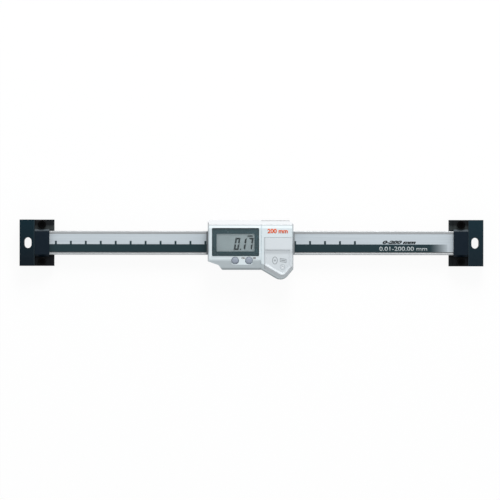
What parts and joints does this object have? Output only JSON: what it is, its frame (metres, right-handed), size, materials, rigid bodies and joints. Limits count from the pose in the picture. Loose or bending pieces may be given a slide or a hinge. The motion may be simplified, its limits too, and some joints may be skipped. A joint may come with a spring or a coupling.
{
  "type": "digital linear scale",
  "caption": "Digital linear scale: a steel beam clamped in slotted end brackets, with a sliding head that carries a display window, keys and a battery cover.",
  "frame": {"origin": "on the mounting plane behind the brackets, midway between their two slots and on the beam's centreline", "axes": "+X along the beam, to the right as the display is read; +Y across the beam, up as the display is read; +Z out of the display, away from the mounting plane"},
  "size_m": [0.31, 0.04, 0.0203],
  "materials": {
    "beam_steel": "ground",
    "scale_laminate": "satin",
    "scale_film": "satin",
    "bracket_paint": "satin black-blue coating on aluminium",
    "clamp_paint": "satin black-blue coating on aluminium",
    "black_screws": "black oxide",
    "frame_metal": "die-cast, fine blasted",
    "plate_metal": "brushed",
    "steel_screws": "satin",
    "gib_bronze": "ground",
    "black_rubber": "matte",
    "housing_plastic": "satin silver-grey moulding",
    "cover_plastic": "satin silver-grey moulding",
    "window_clear": "clear, dark printed border",
    "lcd_face": "liquid crystal display",
    "holder_plastic": "moulded",
    "board_green": "solder mask",
    "component_black": "moulded",
    "key_plastic": "satin blue-grey moulding",
    "cell_steel": "nickel-plated",
    "contact_brass": "sprung strip"
  },
  "bodies": {
    "beam": {"main_beam": "beam_steel", "scale_strip": "scale_laminate", "graduation_film": "scale_film", "bracket_base_left": "bracket_paint", "bracket_base_right": "bracket_paint", "beam_clamp_left": "clamp_paint", "beam_clamp_right": "clamp_paint", "clamp_screws_left": "black_screws", "clamp_screws_right": "black_screws"},
    "slider": {"slider_frame": "frame_metal", "slider_back_plate": "plate_metal", "back_plate_screws": "steel_screws", "gib_strip": "gib_bronze", "gib_screws": "black_screws", "wiper_left": "black_rubber", "wiper_right": "black_rubber", "housing_gasket": "black_rubber", "front_housing": "housing_plastic", "housing_screws": "steel_screws", "display_window": "window_clear", "window_seal": "black_rubber", "lcd_panel": "lcd_face", "lcd_holder": "holder_plastic", "zebra_strips": "black_rubber", "main_board": "board_green", "board_components": "component_black", "readhead_board": "board_green", "key_switches": "component_black", "key_seals": "black_rubber", "battery": "cell_steel", "battery_contact_plus": "contact_brass", "battery_contact_minus": "contact_brass", "battery_seal": "black_rubber", "battery_cover": "cover_plastic", "battery_cover_screw": "steel_screws"},
    "zero_key": {"zero_key": "key_plastic"},
    "power_key": {"power_key": "key_plastic"}
  },
  "joints": [
    {"name": "slider_travel", "type": "slide", "parent": "beam", "child": "slider", "axis": [1, 0, 0], "range_m": [-0.1028, 0.104]},
    {"name": "zero_key_press", "type": "slide", "parent": "slider", "child": "zero_key", "axis": [0, 0, -1], "range_m": [0, 0.0005], "stiffness_N_per_m": 400, "springref_m": -0.002},
    {"name": "power_key_press", "type": "slide", "parent": "slider", "child": "power_key", "axis": [0, 0, -1], "range_m": [0, 0.0005], "stiffness_N_per_m": 400, "springref_m": -0.002}
  ]
}
